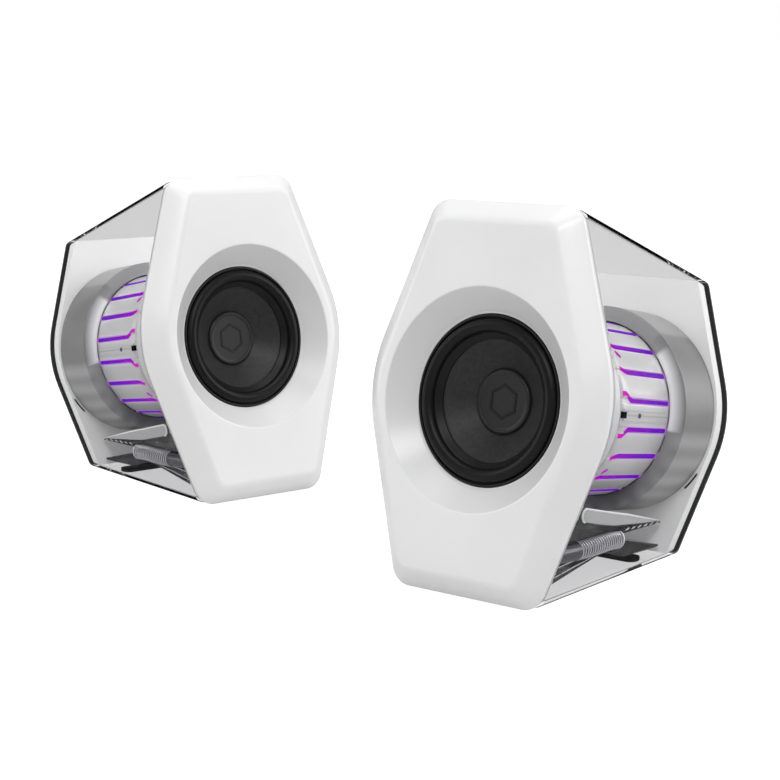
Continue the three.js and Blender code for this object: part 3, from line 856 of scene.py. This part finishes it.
def bar_rows(middle, hooked):
    """A bar next to the seam ends in a hook with a blunt head; the others bend and taper."""
    rows = []
    front = 34.2 if hooked else 35.2
    for depth in [64.2, 56, 50, 45, *np.linspace(42, front, 18)]:
        if hooked:
            swing = 0.072 * ease((40.5 - depth) / 4.5)
            waist = math.exp(-((depth - 38.4) / 1.2) ** 2)
            half = 0.75 - 0.25 * waist + 0.15 * ease((37 - depth) / 1.2)
        else:
            t = max(0, (42 - depth) / (42 - front))
            swing, half = 0.055 * t * t, 0.75 - 0.55 * t ** 1.5
        rows.append((depth * MM, middle + bar_bend(middle) * swing, half * MM))
    return rows


def bars_mesh():
    strips = []
    for number, middle in enumerate(bar_angles()):
        from_seam = min(number % 10, 9 - number % 10)
        strips.append(ribbon(bar_rows(middle, from_seam == 0)))
        if from_seam == 1:
            dash = middle + bar_bend(middle) * 0.2
            slant = bar_bend(middle) * 0.022
            strips.append(ribbon([
                (38.6 * MM, dash - slant, 0.4 * MM), (38.0 * MM, dash - slant / 2, 0.85 * MM),
                (36.8 * MM, dash + slant, 0.75 * MM),
            ], rise=0.4))
    mesh = joined_same(strips)
    depth = np.array([v.co.y for v in mesh.vertices])
    return with_values(mesh, "along", np.clip((depth - 34 * MM) / (28 * MM), 0, 1))


def sleeve_mesh():
    """The fluted sleeve: a slot for each bar, and a soft facet between the slots."""
    pitch = 2 * math.pi / BARS
    marks = [(-0.10, -0.55), (-0.085, -0.6), (0.085, -0.6), (0.10, -0.55), (0.115, -0.05), (0.13, 0.0)]
    marks += [(s, 0.16 * math.sin((s - 0.13) / 0.74 * math.pi)) for s in np.linspace(0.18, 0.82, 10)]
    marks += [(0.87, 0.0), (0.885, -0.05)]
    outline = []
    for middle in bar_angles():
        for share, out in marks:
            angle = middle + share * pitch
            reach = DRUM_RADIUS + out * MM
            outline.append((math.cos(angle) * reach, math.sin(angle) * reach))
    outline = np.array(outline)
    stations = [(DRUM_FRONT + 0.3 * MM, 0.965), (DRUM_FRONT + 0.9 * MM, 0.99), (DRUM_FRONT + 2 * MM, 1.0)]
    stations += [(d * MM, 1.0) for d in np.linspace(38, 64.4, 9)]
    stations += [(64.45 * MM, 0.985), (SLEEVE_BACK, 0.985)]
    rings = [at_depth(outline * scale * sleeve_scale(depth), depth) for depth, scale in stations]
    mesh = capped(rings)
    places = np.array([v.co for v in mesh.vertices])
    phase = (np.arctan2(places[:, 2], places[:, 0]) / pitch - 0.5) % 1
    beside = np.clip(1 - np.minimum(phase, 1 - phase) / 0.3, 0, 1)
    lit = np.clip((places[:, 1] - 36 * MM) / (4 * MM), 0, 1)
    return with_values(mesh, "glow", beside ** 2 * lit)


def raised_patch(middle, foot, top, low, high, depths):
    """A patch on the drum with sloping sides; foot and top are its half widths, as angles."""
    corners = ((-foot, low), (-top, high), (top, high), (foot, low))
    rings = [
        np.array([polar(middle + turn, DRUM_RADIUS + out * MM, depth * MM) for turn, out in corners])
        for depth in depths
    ]
    return capped(rings)


def seam_meshes(middle):
    """The joint strip at mid height, with its small black window and a dark blue mark."""
    along = np.linspace(34.5, 63.8, 10)
    edges = [raised_patch(middle + way, 0.014, 0.009, -0.3, 0.35, along) for way in (-0.055, 0.055)]
    window = raised_patch(middle, 0.036, 0.034, -0.4, 0.3, (33.6, 36.4))
    mark = raised_patch(middle, 0.026, 0.024, -0.4, 0.3, (44.3, 45.8))
    joint = ribbon([(37 * MM, middle, 0.3 * MM), (64 * MM, middle, 0.3 * MM)], rise=0.2)
    return [joined_same(edges), window, mark, joint]


def chamber_mesh():
    return turned_mm(
        [
            (29.3, 4.4), (38.5, 4.4), (38.5, 6.4), (32.6, 6.4), (31.3, 8), (31.3, 33), (27.6, 33),
            (27.6, 72), (0, 72), (0, 70), (25.6, 70), (25.6, 31), (29.3, 29),
        ],
        [0, 0.5, 0.5, 1, 1, 0.6, 0, 0.5, 0, 0, 0, 0, 0],
    )


def reflector_mesh():
    """The ring, with a painted reflection at every point: the light and dark sectors that its satin face
    would pick up from the shell's facets.
    """
    mesh = turned_mm(
        [
            (RING_MOUTH, RING_FRONT), (RING_MOUTH + 0.8, RING_FRONT + 0.1), (RING_RADIUS, RING_SHOULDER),
            (RING_RADIUS - 0.4, 86.7), (33.8, 86.7), (33.8, 68.8), (RING_MOUTH, 67.6),
        ],
        [0.1, 0.3, 0.15, 0.3, 0, 0, 0], segments=240,
    )
    painted_tones = []
    for vertex in mesh.vertices:
        angle = math.degrees(math.atan2(vertex.co.z, abs(vertex.co.x)))
        # Painted reflection: a bright sector on the front face, darker below it, and lighter bands above and
        # below on the outer side.
        if vertex.co.y < RING_SHOULDER * MM - 0.2 * MM:
            lit = ease((angle + 9) / 2) * ease((43 - angle) / 2)
            painted_tones.append(0.3 + 0.55 * lit - 0.12 * ease((-20 - angle) / 50))
        else:
            upper = ease((angle - 50) / 3)
            lower = ease((-5 - angle) / 3) * (0.7 + 0.3 * math.cos(angle * 0.5))
            painted_tones.append(0.21 + 0.12 * upper + 0.17 * lower)
    return with_values(mesh, "painted_reflection_tone", painted_tones)


def slot_shade_mesh():
    """A short curved slot on both sides of the ring, shown as a thin dark inlay of painted shade."""
    section = ((36.75, 86.6), (37.2, 86.6), (37.2, 87.4), (36.75, 87.4))
    slots = []
    for way in (-1, 1):
        rings = []
        for angle in np.radians(np.linspace(-31, -42, 9)):
            across = way * math.cos(angle)
            up = math.sin(angle)
            rings.append(np.array([(r * across, depth, r * up) for r, depth in section]) * MM)
        slots.append(capped(rings))
    return joined_same(slots)


# ---- fairing and conduit ----
def fairing_half(depth):
    """Half the fairing's width, which tapers with the shell, in millimetres."""
    share = (depth - FAIRING_FRONT) / (FAIRING_REAR - FAIRING_FRONT)
    return FAIRING_HALF[0] + (FAIRING_HALF[1] - FAIRING_HALF[0]) * share


def eased(outline, distance):
    """A closed outline of (depth, z) points, moved in at every point by a distance."""
    points = np.array(outline, float)
    ahead = np.roll(points, -1, 0) - points
    ahead /= np.linalg.norm(ahead, axis=1, keepdims=True)
    back = np.roll(ahead, 1, 0)
    normal = np.column_stack([ahead[:, 1] + back[:, 1], -ahead[:, 0] - back[:, 0]])
    normal /= np.maximum(np.linalg.norm(normal, axis=1, keepdims=True), 0.2)
    return points + normal * distance


def slab(outline, stations):
    """A body across the speaker from its side view; stations are (place, how far eased in)."""
    rings = []
    for place_across, distance in stations:
        points = eased(outline, distance)
        x = [place_across(depth) for depth, _ in points]
        rings.append(np.column_stack([x, points]) * MM)
    return capped(rings)


FAIRING_REST = [
    (FAIRING_REAR, -38.0), (58.5, -41.6), (58.5, -43.7), (FAIRING_REAR, -45.8), (84.5, -46.8),
    (62, -49.6), (47, -47.8), (FAIRING_FRONT, -59.6),
]
NOSE = [(31.8 - 2.3 * math.sin(a), -34.9 - 2.3 * math.cos(a)) for a in np.linspace(0, math.pi, 13)]
PLATE = [*NOSE, (60, -34.9), (83, -37.2), (79, -37.6), (66, -38.1), (51.5, -38.6), (41, -38.0)]
# A bright bead along the plate's top edge: a painted highlight.
HIGHLIGHT_BEAD = [*NOSE, (45, -33.7), (60, -34.8), (83, -37.1)]
STIFFENERS = [
    [(17, -48.9), (27, -47.6), (36, -46.9)],
    [(17, -52.2), (27, -50.0), (38, -47.6)],
    [(15, -55.6), (28, -52.0), (40, -48.9)],
]


def fairing_body(side):
    """The smoked swallow-tailed block, hollowed for the drum and for the conduit."""
    top = [(FAIRING_FRONT + 75.5 * s, -31.3 - 5.9 * s) for s in np.linspace(0, 1, 40)]
    rings = []
    for share in np.concatenate([[-1, -0.985], np.linspace(-0.97, 0.97, 33), [0.985, 1]]):
        drop = 0.5 if abs(share) == 1 else (0.12 if abs(share) > 0.98 else 0)
        ring = []
        for depth, z in eased(top + FAIRING_REST, drop):
            x = share * fairing_half(depth)
            clearance = RING_RADIUS + 0.6 if depth > RING_FRONT - 1 else DRUM_RADIUS / MM + 1.2
            saddle = -math.sqrt(max(clearance ** 2 - x * x, 0))
            ring.append((x, depth, min(z, saddle) if z > -38 else z))
        rings.append(np.array(ring) * MM)
    return cut(capped(rings), [tube_mesh(side, CONDUIT_RADIUS + 0.3 * MM)])


def rib(line, way, out, radii):
    """A round rib along a line of (depth, z) points on the fairing's side, all in millimetres."""
    path = [np.array((way * (fairing_half(depth) + out), depth, z)) * MM for depth, z in line]
    return swept(path, [r * MM for r in radii], 12, square_to=(1.0, 0, 0))


def fairing_meshes(side):
    """The block, and on each side a pale plate, a bright bead that paints the highlight along the plate's
    top edge, stiffeners and a row of slanted pips.
    """
    plates, trims = [], []
    for way in (-1, 1):
        stations = [
            (lambda depth, w=way, out=out: w * (fairing_half(depth) + out), drop)
            for out, drop in ((-0.3, 0), (0.1, 0), (0.3, 0.25))
        ]
        plates.append(slab(PLATE, stations))
        # The bead is a painted highlight, in the brightened panel plastic.
        trims.append(rib(HIGHLIGHT_BEAD, way, 0.2, [0.15, *[0.36] * (len(HIGHLIGHT_BEAD) - 2), 0.15]))
        for line in STIFFENERS:
            plates.append(rib(line, way, -0.05, [0.2, 0.28, 0.12]))
        for depth in np.arange(60, 83, 4.2):
            middle = -39.9 + (depth - 60) * 0.1
            pip = [(depth, middle - 0.45), (depth + 1.2, middle), (depth + 2.4, middle + 0.45)]
            plates.append(rib(pip, way, 0, [0.15, 0.32, 0.15]))
    return joined([fairing_body(side), joined_same(plates), joined_same(trims)])


def conduit_route(side, count):
    """The harness's way back in the fairing's side and out between the two leaves."""
    beside = FAIRING_HALF[0] - 2.2
    stops = np.array([
        (beside, 10, -49.2), (beside, 26, -47.3), (beside - 0.4, 40, -45.5),
        (beside - 1.2, 50, -44.1), (beside - 2, 57.5, -43.5),
    ]) * MM
    stops[:, 0] *= side
    return smooth_curve(stops, count // (len(stops) - 1))


def tube_mesh(side, radius):
    route = conduit_route(side, 40)
    return swept(route, [radius] * len(route), 20)


def conduit_meshes(side):
    """A dark tube with an open end, and the bright rings of its corrugated rear half."""
    route = conduit_route(side, 400)
    length = np.concatenate([[0], np.cumsum(np.linalg.norm(np.diff(route, axis=0), axis=1))])
    tube = swept(route, [CONDUIT_RADIUS * 0.92] * len(route), 32)
    bore = swept(route[-30:] + (route[-1] - route[-2]) * 3, [CONDUIT_RADIUS * 0.72] * 30, 24)
    hoops = []
    for place_along in np.arange(length[-1] * 0.42, length[-1] - 0.8 * MM, 1.5 * MM):
        at = int(np.searchsorted(length, place_along))
        along = (route[at + 1] - route[at - 1]) / np.linalg.norm(route[at + 1] - route[at - 1])
        bulge = [math.sin(math.pi * k / 6) for k in range(7)]
        line = [route[at] + along * (k - 3) * 0.08 * MM for k in range(7)]
        hoops.append(swept(line, [CONDUIT_RADIUS * 0.9 + 0.35 * MM * b for b in bulge], 32))
    rim_line = [route[-1] - (route[-1] - route[-2]) * k * 4 for k in range(4)]
    rim = swept(rim_line, [CONDUIT_RADIUS * r for r in (0.98, 1.04, 1.04, 0.98)], 32)
    return joined([cut(tube, [bore]), joined_same([*hoops, cut(rim, [bore])])])


# ---- controls ----
KNOB_PROFILE = [
    (95.2, 8.6), (95.6, 8.95), (96.4, 9.0), (96.9, 9.0), (104.4, 9.0), (104.9, 9.0), (105.6, 8.8),
    (106.2, 8.2), (106.4, 7.4), (106.1, 6.8), (105.9, 0.01),
]
KNURLED = (96.9, 104.4)  # its first and last knurled depth
KNURL_DEPTH = 0.28


def knob_mesh():
    """A knurled knob with a dished end and a pointer groove."""
    angles = round_angles(144)
    notches = KNURL_DEPTH * (np.arange(len(angles)) % 3 == 0)
    rings = []
    for depth, radius in KNOB_PROFILE:
        reach = (radius - notches * (depth in KNURLED)) * MM
        rings.append(at_depth(np.column_stack([reach * np.cos(angles), reach * np.sin(angles)]), depth * MM))
    x, z, _ = PORTS["knob"]
    groove = block(0.9, 105.4, 108, 3.4, 0, 5.2)
    return moved(cut(capped(rings), [groove]), x * MM, 0, z * MM)


def button_mesh(port):
    x, z, radius = PORTS[port]
    r = radius - 0.3
    mesh = turned_mm(
        [(0, 89.6), (r + 1.1, 89.6), (r + 1.1, 90.9), (r, 90.9), (r, 95.7), (r - 0.8, 95.4), (0, 95.2)],
        [0, 0.2, 0.2, 0, 0.5, 0.4, 0], 64, closed=False,
    )
    return moved(mesh, x * MM, 0, z * MM)


def socket_mesh(port, bore, pin=0):
    x, z, radius = PORTS[port]
    r = radius - 0.3
    corners = [(0, 82), (r, 82), (r, 94.9), (bore, 94.9), (bore, 86)]
    corners += [(pin, 86), (pin, 93.2), (0, 93.5)] if pin else [(0, 86)]
    trims = [0, 0, 0.35, 0.3, 0] + ([0, 0.3, 0] if pin else [0])
    return moved(turned_mm(corners, trims, 64, closed=False), x * MM, 0, z * MM)


def usb_meshes():
    x, z, width, height = USB
    case = cut(block(width - 0.6, 82, 94.6, height - 0.6, x, z), [block(12, 86, 97, 4.6, x, z)])
    return [case, block(11, 85.4, 93.6, 1.8, x, z + 0.8)]


# ---- feet ----
def foot_mesh(low, high, turn):
    """A rubber strip with rounded ends, between the corners of its box in the row's frame."""
    centre = (low + high) / 2
    size = high - low
    width = (size.x - FOOT_DEPTH * abs(math.sin(turn))) / abs(math.cos(turn))
    w, d = width / 2, FOOT_DEPTH / 2
    corners = [np.array(c) for c in ((w, d), (w, -d), (-w, -d), (-w, d))]
    rings = []
    for height, inset in ((0, 0.35), (0.12, 0.1), (0.4, 0), (size.z / MM, 0)):
        outline = rounded(move_in(corners, inset * MM), [(FOOT_CORNER - inset) * MM] * 4)
        rings.append(np.column_stack([outline, np.full(len(outline), height * MM)]))
    mesh = capped(rings)
    mesh.transform(Matrix.Translation((centre.x, centre.y, low.z)) @ Matrix.Rotation(turn, 4, "Z"))
    return mesh


# ---- assembly ----
def piece_adder(name, looks):
    """A function that adds one piece of a speaker, drawn in the speaker's axis frame."""
    def add(piece, mesh, finish, replaces=None, slot=None, body="speaker", crease=40):
        finishes = finish if isinstance(finish, tuple) else (finish,)
        materials = [looks[f] for f in finishes]
        stands_for = [f"{name}_{replaces}"] if replaces else []
        rides_on = f"{name}_{body}"
        return place(f"{name}_{piece}", mesh, materials, rides_on, FRAMES[name], stands_for, slot, crease)
    return add


def enclosure_pieces(add, name):
    add("baffle_skin", baffle_mesh(), ("white", "dish"), "front_baffle", "white_plastic", crease=30)
    finish = ("clear", "corner", "rim", "cover")
    shell = add("shell_skin", shell_meshes(), finish, "clear_shell", "clear_plastic")
    shell.visible_shadow = False
    shell.visible_diffuse = False
    add("seal_skin", seal_mesh(), "seal", "shell_seal", "seal_rubber")
    has_controls = name == "right"
    panel = panel_mesh(list(PORTS) if has_controls else ["link"], has_controls)
    # The panel takes the brightened white plastic: painted light.
    add("panel_skin", panel, "panel", "rear_panel", "white_plastic", crease=30)
    add("panel_screws", screw_meshes(), "steel", slot="plate_steel", crease=30)


def bending_piece(name, piece, mesh, material, node):
    """A piece that lies between two bodies but rides on neither: it is baked into the row's frame, and the
    part it stands for is hidden.
    """
    bending = place(f"{name}_{piece}", mesh, [material], None, FRAMES[name])
    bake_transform(bending)
    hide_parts(f"{name}_{node}")


def driver_pieces(add, name, looks):
    speaker, cone = f"{name}_speaker", f"{name}_driver_cone"
    trim = turned_mm([(27.7, 0.75), (28.5, 0.75), (28.5, 1.4), (27.7, 1.4)], 0.2)
    add("trim_skin", trim, "black", "driver_trim_ring", "black_plastic")
    add("cone_skin", cone_mesh(), "paper", "cone", "cone_paper", "driver_cone")
    add("cap_skin", cap_meshes(), ("cap", "black"), "dust_cap", "cap_plastic", "driver_cone")
    halves = (("roll_outer", False, (speaker, cone)), ("roll_inner", True, (cone, speaker)))
    for piece, inner, bodies in halves:
        half = turned(roll_profile(inner))
        bending_piece(name, piece, half, looks["roll"], "surround")
    bending_piece(name, "spider_skin", spider_mesh(), looks["cloth"],
                  "spider")


def drum_pieces(add, side):
    add("chamber_skin", chamber_mesh(), "pale", "acoustic_chamber", "pale_plastic")
    add("sleeve_skin", sleeve_mesh(), "sleeve", "light_guide", "light_guide", crease=50)
    add("light_bars", bars_mesh(), "bar", slot="light_guide")
    for end, angle in (("outer", 0), ("inner", math.pi)):
        seam = joined(seam_meshes(angle if side > 0 else math.pi - angle))
        add(f"{end}_drum_seam", seam, ("sleeve", "window", "navy", "seal"), slot="light_guide")
    add("reflector_skin", reflector_mesh(), "silver", "reflector_ring", "satin_silver")
    # The slots' dark inlays are painted shade, in the near-black of the seam's window.
    add("panel_slots", slot_shade_mesh(), "window", slot="black_plastic")


def low_pieces(add, name, side, looks):
    """The fairing, the conduit, the lead's socket and the feet."""
    # The third finish, the brightened panel plastic, paints the bead's highlight.
    finish = ("smoked", "leaf", "panel")
    fairing = add("fairing_skin", fairing_meshes(side), finish, "cable_fairing", "smoked_plastic", crease=25)
    fairing.visible_diffuse = False
    add("conduit_skin", conduit_meshes(side), ("tube", "chrome"), "harness_conduit", "conduit_chrome")
    add("link_skin", socket_mesh("link", 2.6), "black", "link_socket", "black_plastic")
    turn = math.atan2(FRAMES[name][1][0], FRAMES[name][0][0])
    for foot in (f"{name}_front_foot", f"{name}_rear_foot"):
        strip = foot_mesh(*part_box(foot), turn)
        place(f"{foot}_skin", strip, [looks["rubber"]], f"{name}_speaker", Matrix.Identity(4),
              [foot], "foot_rubber")


def control_pieces(looks):
    at, body = FRAMES["right"], "right_speaker"
    place("knob_skin", knob_mesh(), [looks["white"]], "volume_control", at,
          ["volume_knob"], "knob_plastic", 30)
    for key in ("light", "source"):
        place(f"{key}_button_skin", button_mesh(key), [looks["dark"]], f"{key}_key", at,
              [f"{key}_button"], "button_plastic")
    place("power_inlet_skin", socket_mesh("power", 2.9, 0.9), [looks["black"]], body, at,
          ["power_inlet"], "black_plastic")
    place("aux_jack_skin", socket_mesh("aux", 1.8), [looks["black"]], body, at,
          ["aux_jack"], "black_plastic")
    place("usb_port_skin", joined(usb_meshes()), [looks["steel"], looks["black"]], body, at,
          ["usb_port"], "port_steel")


def finish_inner_nodes(looks):
    """The parts that stay as packed are hidden inside: each gets its own material."""
    finishes = {
        "driver_basket": "basket", "voice_coil": "copper", "top_plate": "steel",
        "magnet": "ferrite", "yoke": "steel", "led_board": "board", "main_board": "board",
        "heat_sink": "steel", "volume_encoder": "steel", "volume_shaft": "steel",
    }
    for node, item in frame["nodes"].items():
        plain = node.removeprefix("right_").removeprefix("left_")
        if plain in finishes:
            item.data.materials.clear()
            item.data.materials.append(looks[finishes[plain]])


make_studio()
LOOKS = make_materials()
for speaker_name, speaker_side in SIDES.items():
    add_piece = piece_adder(speaker_name, LOOKS)
    enclosure_pieces(add_piece, speaker_name)
    driver_pieces(add_piece, speaker_name, LOOKS)
    drum_pieces(add_piece, speaker_side)
    low_pieces(add_piece, speaker_name, speaker_side, LOOKS)
control_pieces(LOOKS)
finish_inner_nodes(LOOKS)
